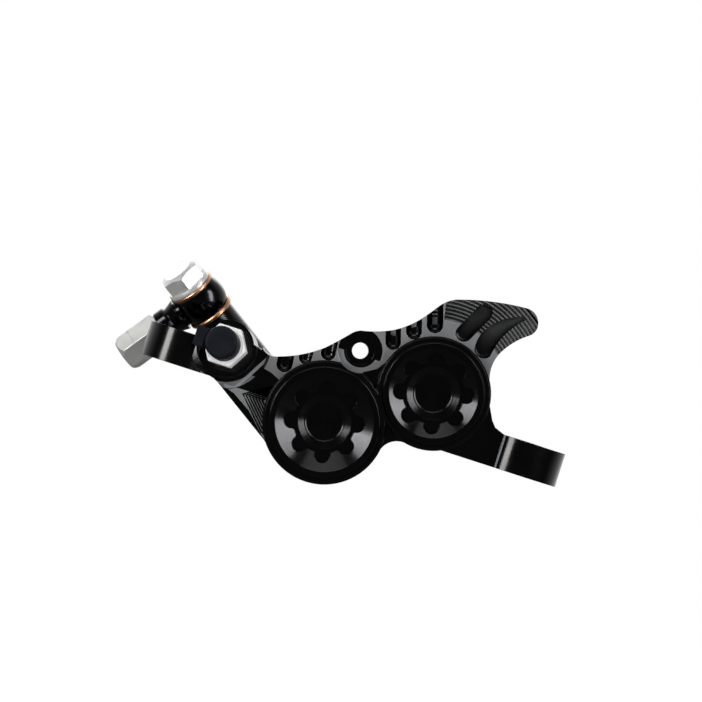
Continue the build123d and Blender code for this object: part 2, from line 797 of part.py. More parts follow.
# A plain ring between two lateral stations
def ring(centre, inner, outer, outboard, inboard):
    with BuildPart() as hoop:
        lateral_round(centre, outer, outboard, inboard)
        lateral_round(centre, inner, outboard, inboard, Mode.SUBTRACT)
    return hoop.part


# A piston, closed towards the fluid and open towards the pad
def piston_cup(centre, radius, side):
    axis = Axis((centre[0], rotor_plane, centre[1]), (0, side, 0))
    with BuildPart() as cup:
        turned(axis, [
            (radius - piston_wall, plate_back), (radius - piston_edge, plate_back),
            (radius, plate_back + piston_edge), (radius, piston_back - piston_edge),
            (radius - piston_edge, piston_back), (0, piston_back),
            (0, piston_back - piston_floor), (radius - piston_wall, piston_back - piston_floor),
        ])
    return cup.part


def save(part, name):
    part.label = name
    export_step(part, "parts/" + name + ".step")


for bore_name, centre, radius in (
    ("large", large_bore, large_radius),
    ("small", small_bore, small_radius),
):
    save(bore_cap(centre, radius), bore_name + "_bore_cap")
    thread = radius + cap_thread_step
    save(ring(centre, thread + seal_slack, thread + cap_seal_depth - seal_slack,
              cap_seat_y + seal_slack, cap_seat_y + cap_seal_width - seal_slack),
         bore_name + "_bore_cap_seal")
    for side_name, side in (("outboard", -1), ("inboard", 1)):
        name = side_name + "_" + bore_name
        save(piston_cup(centre, radius, side), name + "_piston")
        for seal_name, (near, far, depth) in zip(("dust_seal", "pressure_seal"), seal_places):
            stations = sorted((rotor_plane + side * (near + seal_slack),
                               rotor_plane + side * (far - seal_slack)))
            save(ring(centre, radius + seal_slack, radius + depth - seal_slack, *stations),
                 name + "_" + seal_name)


# Pads: a steel plate with a tab for the pin, and the lining bonded to it
def pad_plate(near, far):
    with BuildPart() as plate:
        with BuildSketch(lateral(far)) as outline:
            make_face(sector_edges(pad_inner_radius, pad_outer_radius, pad_half_angle,
                                   pad_angle))
            fillet(outline.vertices(), pad_corner)
            tab_root = about_rotor(pad_outer_radius - pad_corner, pin_angle)
            middle = ((tab_root[0] + pin_centre[0]) / 2, (tab_root[1] + pin_centre[1]) / 2)
            with Locations(middle):
                Rectangle(hypot(pin_centre[0] - tab_root[0], pin_centre[1] - tab_root[1]),
                          pad_tab_width, rotation=pin_angle)
            with Locations(pin_centre):
                Circle(pad_tab_radius)
                Circle(pin_hole_diameter / 2, mode=Mode.SUBTRACT)
        extrude(amount=far - near)
    return plate.part


def pad_lining(near, far):
    with BuildPart() as lining:
        with BuildSketch(lateral(far)) as outline:
            make_face(sector_edges(pad_inner_radius + lining_inset,
                                   pad_outer_radius - lining_inset,
                                   pad_half_angle - lining_inset / radians(track_radius),
                                   pad_angle))
            fillet(outline.vertices(), pad_corner)
            with Locations(about_rotor(track_radius, pad_angle)):
                Rectangle(2 * pad_height, lining_groove, rotation=pad_angle,
                          mode=Mode.SUBTRACT)
        extrude(amount=far - near)
    return lining.part


for side_name, side in (("outboard", -1), ("inboard", 1)):
    plate_stations = sorted((rotor_plane + side * plate_face, rotor_plane + side * plate_back))
    save(pad_plate(*plate_stations), side_name + "_pad_plate")
    lining_stations = sorted((rotor_plane + side * lining_face, rotor_plane + side * plate_face))
    save(pad_lining(*lining_stations), side_name + "_pad_lining")

# Pad spring: two stamped legs joined over the top, that push the plates apart
spring_leg_face = plate_face - spring_slack
with BuildPart() as pad_spring:
    for side in (-1, 1):
        stations = sorted((rotor_plane + side * spring_leg_face,
                           rotor_plane + side * (spring_leg_face - spring_sheet)))
        with BuildSketch(lateral(stations[1])):
            make_face(sector_edges(spring_foot_radius, spring_foot_radius + spring_arm_height,
                                   spring_arm_angle, pin_angle))
            foot = about_rotor(spring_foot_radius + spring_sheet, pin_angle)
            top = about_rotor(spring_top_radius, pin_angle)
            with Locations(((foot[0] + top[0]) / 2, (foot[1] + top[1]) / 2)):
                Rectangle(hypot(top[0] - foot[0], top[1] - foot[1]), spring_neck_width,
                          rotation=pin_angle)
            with Locations(pin_centre):
                Circle(spring_eye_radius)
                Circle(pin_hole_diameter / 2, mode=Mode.SUBTRACT)
        extrude(amount=spring_sheet)
    top = about_rotor(spring_top_radius - spring_sheet / 2, pin_angle)
    with BuildSketch(lateral(rotor_plane + spring_leg_face)):
        with Locations(top):
            Rectangle(spring_sheet, spring_neck_width, rotation=pin_angle)
    extrude(amount=2 * spring_leg_face)
save(pad_spring.part, "pad_spring")

# Hose fitting: bolt, two copper washers and the swivelling banjo
with BuildPart() as banjo_bolt:
    raised_hex(square_to(banjo_centre, bolt_direction, bolt_seat,
                         bolt_direction.cross(neck_direction)), bolt_hex, bolt_head_height)
    hex_corner = corner_radius(bolt_hex)
    crown_drop = (hex_corner - bolt_crown_radius) * tan(radians(bolt_head_slope))
    turned(bolt_axis, [
        (0, bolt_seat), (hex_corner, bolt_seat),
        (hex_corner, bolt_seat + bolt_head_height - crown_drop),
        (bolt_crown_radius, bolt_seat + bolt_head_height), (0, bolt_seat + bolt_head_height),
    ], Mode.INTERSECT)
    turned(bolt_axis, [
        (0, bolt_seat), (bolt_flange_radius, bolt_seat),
        (bolt_flange_radius, bolt_seat + bolt_flange_height / 2),
        (hex_corner, bolt_seat + bolt_flange_height), (0, bolt_seat + bolt_flange_height),
    ])
    turned(bolt_axis, [
        (0, -bolt_tip), (bolt_thread_radius - hex_chamfer, -bolt_tip),
        (bolt_thread_radius, hex_chamfer - bolt_tip), (bolt_thread_radius, -bolt_seat),
        (bolt_thread_radius, bolt_seat), (0, bolt_seat),
    ])
    turned(bolt_axis, [
        (0, -bolt_tip - overrun), (fluid_hole_radius, -bolt_tip - overrun),
        (fluid_hole_radius, fluid_hole_radius), (0, fluid_hole_radius),
    ], Mode.SUBTRACT)
    with BuildSketch(Plane(origin=banjo_centre, x_dir=bolt_direction,
                           z_dir=neck_direction)) as cross_hole:
        Circle(fluid_hole_radius)
    extrude(cross_hole.sketch, amount=bolt_thread_radius + overrun, both=True,
            mode=Mode.SUBTRACT)
save(banjo_bolt.part, "banjo_bolt")

washer_bore = bolt_thread_radius + banjo_bore_play
for washer_name, foot in (
    ("upper_copper_washer", banjo_half_height),
    ("lower_copper_washer", -bolt_seat),
):
    with BuildPart() as copper_washer:
        turned(bolt_axis, [
            (washer_bore, foot), (washer_radius - washer_round, foot),
            (washer_radius, foot + washer_round),
            (washer_radius, foot + washer_thickness - washer_round),
            (washer_radius - washer_round, foot + washer_thickness),
            (washer_bore, foot + washer_thickness),
        ])
    save(copper_washer.part, washer_name)

with BuildPart() as banjo:
    raised_round(square_to(banjo_centre, neck_direction, 0, bolt_direction),
                 neck_radius, neck_collar_start)
    turned(neck_axis, [
        (0, neck_root_start), (neck_root_radius, neck_root_start),
        (neck_radius, neck_root_end), (0, neck_root_end),
    ])
    turned(neck_axis, [
        (0, neck_collar_start), (neck_radius, neck_collar_start),
        (neck_collar_radius, neck_collar_start + neck_collar_radius - neck_radius),
        (neck_collar_radius, neck_length), (0, neck_length),
    ])
    with BuildSketch(Plane(origin=banjo_centre, x_dir=neck_direction,
                           z_dir=neck_direction.cross(bolt_direction))) as eye:
        with BuildLine():
            Line((banjo_flat_radius, banjo_half_height), (0, banjo_half_height))
            Line((0, banjo_half_height), (0, -banjo_half_height))
            Line((0, -banjo_half_height), (banjo_flat_radius, -banjo_half_height))
            ThreePointArc((banjo_flat_radius, -banjo_half_height), (banjo_radius, 0),
                          (banjo_flat_radius, banjo_half_height))
        make_face()
    revolve(eye.sketch, axis=bolt_axis)
    turned(bolt_axis, [
        (0, -bolt_seat), (washer_bore, -bolt_seat), (washer_bore, -banjo_groove_width / 2),
        (washer_bore + banjo_groove_depth, -banjo_groove_width / 2),
        (washer_bore + banjo_groove_depth, banjo_groove_width / 2),
        (washer_bore, banjo_groove_width / 2), (washer_bore, bolt_seat), (0, bolt_seat),
    ], Mode.SUBTRACT)
    raised_round(square_to(banjo_centre, neck_direction, 0, bolt_direction),
                 fluid_hole_radius, neck_length + overrun, Mode.SUBTRACT)
save(banjo.part, "banjo")

connector_end = neck_length + connector_length
nut_end = connector_end + nut_length
hose_bore = hose_diameter / 2 + hose_play
olive_outer = hose_bore + olive_wall
with BuildPart() as hose_connector:
    raised_hex(square_to(banjo_centre, neck_direction, neck_length, bolt_direction),
               hose_hex, connector_length)
    hose_corner = corner_radius(hose_hex)
    turned(neck_axis, [
        (0, neck_length), (hose_hex / 2, neck_length),
        (hose_corner, neck_length + hex_chamfer), (hose_corner, connector_end),
        (0, connector_end),
    ], Mode.INTERSECT)
    turned(neck_axis, [
        (0, connector_end - overrun), (olive_outer, connector_end - overrun),
        (olive_outer, connector_end + spigot_length), (0, connector_end + spigot_length),
    ])
    turned(neck_axis, [
        (0, neck_length - overrun), (fluid_hole_radius, neck_length - overrun),
        (fluid_hole_radius, connector_end - hose_socket_depth),
        (hose_bore, connector_end - hose_socket_depth),
        (hose_bore, connector_end + overrun), (0, connector_end + overrun),
    ], Mode.SUBTRACT)
save(hose_connector.part, "hose_connector")

with BuildPart() as compression_nut:
    raised_hex(square_to(banjo_centre, neck_direction, connector_end, bolt_direction),
               hose_hex, nut_length)
    turned(neck_axis, [
        (0, connector_end), (hose_corner, connector_end),
        (hose_corner, nut_end - 2 * hex_chamfer),
        (hose_hex / 2 - hex_chamfer / 2, nut_end), (0, nut_end),
    ], Mode.INTERSECT)
    turned(neck_axis, [
        (0, connector_end - overrun), (olive_outer + thread_fit, connector_end - overrun),
        (olive_outer + thread_fit, nut_end - nut_lip), (hose_bore, nut_end - nut_lip),
        (hose_bore, nut_end + overrun), (0, nut_end + overrun),
    ], Mode.SUBTRACT)
save(compression_nut.part, "compression_nut")

with BuildPart() as hose_olive:
    olive_foot = connector_end + spigot_length
    turned(neck_axis, [
        (hose_bore, olive_foot), (olive_outer, olive_foot),
        (olive_outer, olive_foot + olive_length),
        (hose_bore, olive_foot + olive_length),
    ])
save(hose_olive.part, "hose_olive")

# Bleed nipple
with BuildPart() as bleed_nipple:
    raised_hex(square_to(nipple_seat, nipple_direction, 0, (1, 0, 0)),
               nipple_hex, nipple_hex_height)
    nipple_corner = corner_radius(nipple_hex)
    turned(nipple_axis, [
        (0, 0), (nipple_hex / 2, 0), (nipple_corner, hex_chamfer),
        (nipple_corner, nipple_hex_height - hex_chamfer),
        (nipple_hex / 2, nipple_hex_height), (0, nipple_hex_height),
    ], Mode.INTERSECT)
    turned(nipple_axis, [
        (0, nipple_hex_height), (nipple_stem_radius, nipple_hex_height),
        (nipple_stem_radius, nipple_stem_top - nipple_barb_height),
        (nipple_barb_radius, nipple_stem_top - nipple_barb_height),
        (nipple_stem_radius - nipple_bore_radius, nipple_stem_top), (0, nipple_stem_top),
    ])
    turned(nipple_axis, [
        (0, 0), (bolt_thread_radius, 0), (bolt_thread_radius, -nipple_thread_length),
        (nipple_bore_radius, bolt_thread_radius - nipple_thread_length - nipple_cone),
        (0, bolt_thread_radius - nipple_thread_length - nipple_cone),
    ])
    turned(nipple_axis, [
        (0, -nipple_thread_length / 2), (nipple_bore_radius, -nipple_thread_length / 2),
        (nipple_bore_radius, nipple_stem_top + overrun), (0, nipple_stem_top + overrun),
    ], Mode.SUBTRACT)
save(bleed_nipple.part, "bleed_nipple")

# Rubber cap over the nipple, and the strap that keeps it
cap_foot = nipple_hex_height + cap_rubber_gap
cap_bore_top = nipple_stem_top + thread_fit
cap_top = cap_bore_top + cap_rubber_top
with BuildPart() as bleed_cap:
    cap_bore = nipple_barb_radius + thread_fit
    cap_knee = cap_rubber_round * cap_rubber_knee_share
    turned(nipple_axis, [
        (cap_bore, cap_foot), (cap_rubber_radius, cap_foot),
        (cap_rubber_radius, cap_top - cap_rubber_round),
        (cap_rubber_radius - cap_knee, cap_top - cap_knee),
        (cap_rubber_radius - cap_rubber_round, cap_top), (0, cap_top),
        (0, cap_bore_top), (cap_bore, cap_bore_top),
    ])
save(bleed_cap.part, "bleed_cap")

with BuildPart() as bleed_cap_strap:
    ring_foot = nipple_hex_height + strap_slack
    ring_top = cap_foot - strap_slack
    strap_out = cap_rubber_radius + strap_reach
    strap_in = cap_rubber_radius + strap_slack
    turned(nipple_axis, [
        (nipple_stem_radius + thread_fit, ring_foot), (cap_rubber_radius, ring_foot),
        (cap_rubber_radius, ring_top), (nipple_stem_radius + thread_fit, ring_top),
    ])
    strap_side = Vector(-1, 0, 0) + nipple_direction * nipple_direction.X
    strap_plane = Plane(origin=nipple_seat, x_dir=strap_side,
                        z_dir=strap_side.cross(nipple_direction))
    with BuildSketch(strap_plane):
        with BuildLine():
            Polyline(
                (cap_rubber_radius - strap_thickness, ring_foot), (strap_out, ring_foot),
                (strap_out, cap_top - cap_rubber_round),
                (strap_in, cap_top - cap_rubber_round),
                (strap_in, cap_top - cap_rubber_round - strap_thickness),
                (strap_out - strap_thickness, cap_top - cap_rubber_round - strap_thickness),
                (strap_out - strap_thickness, ring_top),
                (cap_rubber_radius - strap_thickness, ring_top), close=True,
            )
        make_face()
    extrude(amount=strap_width / 2, both=True)
save(bleed_cap_strap.part, "bleed_cap_strap")
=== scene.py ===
import math

import bpy
from mathutils import Matrix, Vector

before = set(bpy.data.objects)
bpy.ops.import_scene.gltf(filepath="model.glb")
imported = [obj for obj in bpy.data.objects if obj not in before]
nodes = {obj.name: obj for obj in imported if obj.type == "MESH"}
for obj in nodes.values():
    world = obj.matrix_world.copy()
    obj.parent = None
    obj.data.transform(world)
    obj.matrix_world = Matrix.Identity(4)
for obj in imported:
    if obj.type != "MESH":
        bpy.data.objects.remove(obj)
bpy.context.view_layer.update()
mm = 0.001
print("frame loaded:", len(nodes), "pieces")

# the view is square to the bore caps, rolled a little: roll in degrees, centre, width and
# sensor in millimetres, distance and clip in metres
view = {"roll": 17.9, "centre": (-3.8, -6.0, 13.8), "width": 144.5, "distance": 1.1, "sensor": 36.0,
        "clip": (0.01, 20)}
rollAngle = math.radians(view["roll"])
imageRight = Vector((math.cos(rollAngle), 0, math.sin(rollAngle)))
imageUp = Vector((-math.sin(rollAngle), 0, math.cos(rollAngle)))
towardsCamera = Vector((0, -1, 0))
viewCentre = Vector(view["centre"]) * mm


def addCamera():
    lens = bpy.data.cameras.new("viewCamera")
    lens.sensor_width = view["sensor"]
    lens.lens = view["sensor"] * view["distance"] / (view["width"] * mm)
    lens.clip_start, lens.clip_end = view["clip"]
    camera = bpy.data.objects.new("viewCamera", lens)
    turn = Matrix((imageRight, imageUp, towardsCamera)).transposed().to_4x4()
    camera.matrix_world = Matrix.Translation(viewCentre + towardsCamera * view["distance"]) @ turn
    bpy.context.scene.collection.objects.link(camera)
    bpy.context.scene.camera = camera


# places are metres right, up and near in the picture's own axes, sizes are metres
softboxes = {
    "leftSoftbox": {"place": (-0.58, 0.2, 0.47), "size": (0.22, 0.56), "watts": 4.4},
    "rightSoftbox": {"place": (0.58, 0.2, 0.47), "size": (0.22, 0.56), "watts": 3.6},
    "topSoftbox": {"place": (0.0, 0.66, 0.42), "size": (0.7, 0.22), "watts": 0.9},
    "backSoftbox": {"place": (0.0, 0.45, -0.75), "size": (1.0, 0.5), "watts": 2.0},
}


def addSoftbox(name, settings):
    lamp = bpy.data.lights.new(name, "AREA")
    lamp.shape = "RECTANGLE"
    lamp.size, lamp.size_y = settings["size"]
    lamp.energy = settings["watts"]
    box = bpy.data.objects.new(name, lamp)
    right, up, near = settings["place"]
    place = viewCentre + imageRight * right + imageUp * up + towardsCamera * near
    away = (place - viewCentre).normalized()
    side = imageUp.cross(away).normalized()
    turn = Matrix((side, away.cross(side), away)).transposed().to_4x4()
    box.matrix_world = Matrix.Translation(place) @ turn
    bpy.context.scene.collection.objects.link(box)


addCamera()
for name, settings in softboxes.items():
    addSoftbox(name, settings)
print("camera and lamps set")


def addNode(tree, kind, settings=None, **values):
    made = tree.nodes.new("ShaderNode" + kind)
    for name, value in (settings or {}).items():
        setattr(made, name, value)
    for name, value in values.items():
        made.inputs[name.replace("_", " ")].default_value = value
    return made


def mixShaders(tree, factor, first, second):
    made = addNode(tree, "MixShader")
    for socket, source in enumerate((factor, first, second)):
        tree.links.new(source, made.inputs[socket])
    return made.outputs[0]


# glossy rays see white behind the object and a dark room beside the camera; turn holds the
# ray's part along Y at both ends of that change
worldLook = {"ambient": 0.3, "frontGloss": 0.06, "behindGloss": 1.0, "turn": (-0.2, 0.75),
             "backdrop": 1.0}


def addWorld():
    world = bpy.data.worlds.new("studio")
    bpy.context.scene.world = world
    world.use_nodes = True
    tree = world.node_tree
    tree.nodes.clear()
    path = addNode(tree, "LightPath")
    place = addNode(tree, "TexCoord")
    split = addNode(tree, "SeparateXYZ")
    tree.links.new(place.outputs["Generated"], split.inputs[0])
    turnFrom, turnTo = worldLook["turn"]
    behind = addNode(tree, "MapRange", {"interpolation_type": "SMOOTHSTEP"}, From_Min=turnFrom,
                     From_Max=turnTo, To_Min=worldLook["frontGloss"],
                     To_Max=worldLook["behindGloss"])
    tree.links.new(split.outputs["Y"], behind.inputs["Value"])
    glossy = addNode(tree, "Background", Color=(1, 1, 1, 1))
    tree.links.new(behind.outputs[0], glossy.inputs["Strength"])
    fill = addNode(tree, "Background", Color=(1, 1, 1, 1), Strength=worldLook["ambient"])
    backdrop = addNode(tree, "Background", Color=(1, 1, 1, 1), Strength=worldLook["backdrop"])
    seen = addNode(tree, "Math", {"operation": "MAXIMUM"})
    tree.links.new(path.outputs["Is Camera Ray"], seen.inputs[0])
    tree.links.new(path.outputs["Is Transmission Ray"], seen.inputs[1])
    lighting = mixShaders(tree, path.outputs["Is Glossy Ray"], fill.outputs[0], glossy.outputs[0])
    out = addNode(tree, "OutputWorld")
    tree.links.new(mixShaders(tree, seen.outputs[0], lighting, backdrop.outputs[0]),
                   out.inputs["Surface"])


addWorld()
print("world set")


def startMaterial(name):
    made = bpy.data.materials.new(name)
    made.use_nodes = True
    tree = made.node_tree
    tree.nodes.clear()
    shader = addNode(tree, "BsdfPrincipled")
    out = addNode(tree, "OutputMaterial")
    tree.links.new(shader.outputs[0], out.inputs["Surface"])
    place = addNode(tree, "TexCoord")
    return made, tree, shader, place.outputs["Object"]


# second may be a socket or a plain number
def combine(tree, operation, first, second):
    made = addNode(tree, "Math", {"operation": operation})
    tree.links.new(first, made.inputs[0])
    if isinstance(second, (int, float)):
        made.inputs[1].default_value = second
    else:
        tree.links.new(second, made.inputs[1])
    return made.outputs[0]


def combineAll(tree, operation, first, *others):
    for other in others:
        first = combine(tree, operation, first, other)
    return first


def above(tree, value, limit):
    return combine(tree, "GREATER_THAN", value, limit)


def between(tree, value, ends):
    return combine(tree, "SUBTRACT", above(tree, value, ends[0]), above(tree, value, ends[1]))


def inMetres(ends):
    return [end * mm for end in ends]


# levels are in millimetres
def atLevel(tree, value, level, tolerance=0.04):
    made = addNode(tree, "Math", {"operation": "COMPARE"})
    tree.links.new(value, made.inputs[0])
    made.inputs[1].default_value = level * mm
    made.inputs[2].default_value = tolerance * mm
    return made.outputs[0]


def addRamp(tree, value, fromEnds=(0.0, 1.0), toEnds=(0.0, 1.0)):
    ramp = addNode(tree, "MapRange", From_Min=fromEnds[0], From_Max=fromEnds[1],
                   To_Min=toEnds[0], To_Max=toEnds[1])
    tree.links.new(value, ramp.inputs["Value"])
    return ramp.outputs[0]


# noise with a scale and a detail, stretched to fill the range between two levels
def addNoise(tree, place, grain, levels=(0.0, 1.0), middle=(0.25, 0.75)):
    noise = addNode(tree, "TexNoise", Scale=grain[0], Detail=grain[1])
    tree.links.new(place, noise.inputs["Vector"])
    return addRamp(tree, noise.outputs[0], middle, levels)


# place as seen from an axis along Y, through a point in millimetres
def aboutAxis(tree, place, centre):
    shift = addNode(tree, "Mapping", Location=(-centre[0] * mm, 0, -centre[1] * mm))
    tree.links.new(place, shift.inputs["Vector"])
    return shift.outputs[0]


# fine turning grooves about the axis; a ring texture of scale 1 repeats every pi / 10
def addTurning(tree, place, centre, pitch):
    rings = addNode(tree, "TexWave", {"wave_type": "RINGS", "rings_direction": "Y"},
                    Scale=2 * math.pi / (20 * pitch * mm), Distortion=0.15)
    tree.links.new(aboutAxis(tree, place, centre), rings.inputs["Vector"])
    return rings.outputs["Fac"]


def addReach(tree, place, centre):
    flat = addNode(tree, "VectorMath", {"operation": "MULTIPLY"})
    tree.links.new(aboutAxis(tree, place, centre), flat.inputs[0])
    flat.inputs[1].default_value = (1, 0, 1)
    size = addNode(tree, "VectorMath", {"operation": "LENGTH"})
    tree.links.new(flat.outputs[0], size.inputs[0])
    return size.outputs["Value"]


def blend(tree, kind, factor, first, second):
    made = addNode(tree, "Mix", {"data_type": kind})
    for socket, source in zip(("Factor", "A", "B"), (factor, first, second)):
        tree.links.new(source, made.inputs[socket])
    return made.outputs["Result"]


def mixColours(tree, factor, dark, light):
    made = addNode(tree, "Mix", {"data_type": "RGBA"})
    made.inputs["A"].default_value = (*dark, 1)
    made.inputs["B"].default_value = (*light, 1)
    tree.links.new(factor, made.inputs["Factor"])
    return made.outputs["Result"]


def addEdge(tree, radius, samples=6):
    return addNode(tree, "Bevel", {"samples": samples}, Radius=radius * mm).outputs[0]


def addRelief(tree, shader, height, depth, facing):
    relief = addNode(tree, "Bump", Strength=1.0, Distance=depth * mm)
    tree.links.new(height, relief.inputs["Height"])
    tree.links.new(facing, relief.inputs["Normal"])
    tree.links.new(relief.outputs[0], shader.inputs["Normal"])


# axes along Y, as X and Z in millimetres
largeBore = (-4.50, -1.82)
smallBore = (15.05, 10.71)
nippleSeat = (-28.47, 6.72)


# what the body's masks are made from: the place, its distance from two axes, and how far
# the face looks outboard
def findBodyPlaces(tree, place):
    split = addNode(tree, "SeparateXYZ")
    tree.links.new(place, split.inputs[0])
    at = {axis.lower(): split.outputs[axis] for axis in "XYZ"}
    at["fromBore"] = addReach(tree, place, smallBore)
    at["fromNipple"] = addReach(tree, place, nippleSeat)
    face = addNode(tree, "NewGeometry")
    lean = addNode(tree, "SeparateXYZ")
    tree.links.new(face.outputs["Normal"], lean.inputs[0])
    at["outboard"] = combine(tree, "MULTIPLY", lean.outputs["Y"], -1.0)
    return at


# the fin rises in steps about the small bore; the flats of the steps get a painted sheen and the
# risers between them a painted shade; flat is the share of a step that gets the painted sheen
finCut = {"foot": 14.2, "low": 19.5, "stepFoot": 15.38, "stepPitch": 0.78, "flat": (0.06, 0.42),
          "share": 0.8}


def findFin(tree, at):
    return combine(tree, "MULTIPLY", above(tree, at["fromBore"], finCut["foot"] * mm),
                   above(tree, at["z"], finCut["low"] * mm))


def maskFin(tree, at, inFin, inSlot):
    stepFoot = finCut["stepFoot"] * mm
    steps = combine(tree, "DIVIDE", combine(tree, "SUBTRACT", at["fromBore"], stepFoot),
                    finCut["stepPitch"] * mm)
    onStep = between(tree, combine(tree, "FRACT", steps, 0.0), finCut["flat"])
    underSteps = combine(tree, "LESS_THAN", at["fromBore"], stepFoot)
    flats = combine(tree, "MAXIMUM", onStep, underSteps)
    return combineAll(tree, "MULTIPLY", combine(tree, "SUBTRACT", inFin, inSlot), flats,
                      finCut["share"])


# the floors of the fin's two slots get a painted sheen that fades out towards the bore
slotCut = {"level": 0.9, "foot": 10.5, "fade": (12.5, 18.0), "share": 0.55}


def findSlots(tree, at):
    return combineAll(tree, "MULTIPLY", atLevel(tree, at["y"], slotCut["level"]),
                      above(tree, at["fromBore"], slotCut["foot"] * mm),
                      above(tree, at["z"], finCut["low"] * mm))


def maskSlots(tree, at, inSlot):
    fade = addRamp(tree, at["fromBore"], inMetres(slotCut["fade"]))
    return combineAll(tree, "MULTIPLY", inSlot, fade, slotCut["share"])


# the spot face about the pin, outside its counterbore and below the top edge, gets the painted
# sheen
pinCut = {"centre": (-1.9, 14.5), "level": -5.8, "ring": 3.5, "high": 13.6}


def maskPinFace(tree, at, place):
    reach = addReach(tree, place, pinCut["centre"])
    return combineAll(tree, "MULTIPLY", atLevel(tree, at["y"], pinCut["level"]),
                      above(tree, reach, pinCut["ring"] * mm),
                      combine(tree, "LESS_THAN", at["z"], pinCut["high"] * mm))


# the stepped strut under the left arm, without its edge strip, gets the painted sheen
strutCut = {"across": (-26.5, -12.0), "deep": (-5.95, -2.9), "along": (-40.0, -0.6), "strip": -3.6}


def maskStrut(tree, at):
    inStrut = combineAll(tree, "MULTIPLY", between(tree, at["x"], inMetres(strutCut["across"])),
                         between(tree, at["y"], inMetres(strutCut["deep"])),
                         between(tree, at["z"], inMetres(strutCut["along"])))
    return combine(tree, "SUBTRACT", inStrut, atLevel(tree, at["y"], strutCut["strip"]))


# the tool's sweep about the nipple's seat: its floor gets the painted sheen, and its wall towards
# the ear a painted highlight that fades out downwards;
# lean is how far a face looks outboard, from 0 to 1
sweepCut = {"reach": (7.25, 8.5), "across": (-31.0, -20.0), "along": (-5.0, 2.7), "share": 0.7}
paintedHighlightWindow = {"reach": (6.15, 7.25), "across": (-40.0, -31.0), "along": (1.5, 6.2),
            "lean": (0.3, 0.95), "fade": (1.3, 4.4)}


def findWindow(tree, at, window):
    return combineAll(tree, "MULTIPLY", between(tree, at["x"], inMetres(window["across"])),
                      between(tree, at["z"], inMetres(window["along"])),
                      between(tree, at["fromNipple"], inMetres(window["reach"])))


def maskSweep(tree, at):
    return combine(tree, "MULTIPLY", findWindow(tree, at, sweepCut), sweepCut["share"])


# a painted highlight: a bright, mostly diffuse crescent on the left of the spot face's wall
def maskPaintedHighlight(tree, at):
    return combineAll(tree, "MULTIPLY", findWindow(tree, at, paintedHighlightWindow),
                      between(tree, at["outboard"], paintedHighlightWindow["lean"]),
                      addRamp(tree, at["z"], inMetres(paintedHighlightWindow["fade"])))


# bare is what a mask takes off the metallic share, lean is how far a face looks outboard,
# and a grain is a noise's scale and detail; the fin's risers get a painted shade, the milled
# flats a painted sheen and the spot face's wall by the nipple a painted highlight
bodyLook = {"dark": (0.032, 0.0315, 0.0308), "light": (0.044, 0.0435, 0.0427),
            "paintedShadeDark": (0.006, 0.006, 0.006), "paintedShadeLight": (0.012, 0.012, 0.012),
            "paintedSheenDark": (0.27, 0.276, 0.286), "paintedSheenLight": (0.4, 0.408, 0.42),
            "paintedHighlightDark": (0.62, 0.62, 0.61), "paintedHighlightLight": (0.8, 0.8, 0.78),
            "paintedSheenBare": 0.36, "paintedHighlightBare": 0.8, "gloss": (0.12, 0.2), "cutGloss": 0.24,
            "bandLevel": -6.5, "cutLean": 0.95, "riserLean": (0.2, 0.95),
            "shadeGrain": (120, 4), "glossGrain": (300, 3), "fineGrain": (2600, 2),
            "ringPitch": 0.39, "ringReach": 9.9, "ringShare": 0.9, "fineShare": 0.12,
            "relief": 0.012, "edge": 0.1, "hollow": 2.2, "hollowSamples": 8}


# the body's own tone varies at random; over it go a painted shade on the fin's risers, a painted
# sheen on the milled flats and a painted highlight by the nipple
def bodyColour(tree, place, inPaintedShade, onCutAndPaintedSheen, onPaintedHighlight):
    shade = addNoise(tree, place, bodyLook["shadeGrain"])
    plain = mixColours(tree, shade, bodyLook["dark"], bodyLook["light"])
    paintedShade = mixColours(tree, shade, bodyLook["paintedShadeDark"], bodyLook["paintedShadeLight"])
    paintedSheen = mixColours(tree, shade, bodyLook["paintedSheenDark"], bodyLook["paintedSheenLight"])
    paintedHighlight = mixColours(tree, shade, bodyLook["paintedHighlightDark"], bodyLook["paintedHighlightLight"])
    ground = blend(tree, "RGBA", inPaintedShade, plain, paintedShade)
    return blend(tree, "RGBA", onPaintedHighlight, blend(tree, "RGBA", onCutAndPaintedSheen, ground, paintedSheen), paintedHighlight)


# tool rings about the nipple's seat over a fine grain
def bodyHeight(tree, place, at):
    rings = addTurning(tree, place, nippleSeat, bodyLook["ringPitch"])
    near = between(tree, at["fromNipple"], inMetres((0.0, bodyLook["ringReach"])))
    rings = combineAll(tree, "MULTIPLY", rings, near, bodyLook["ringShare"])
    fine = combine(tree, "MULTIPLY", addNoise(tree, place, bodyLook["fineGrain"]),
                   bodyLook["fineShare"])
    return combine(tree, "ADD", rings, fine)


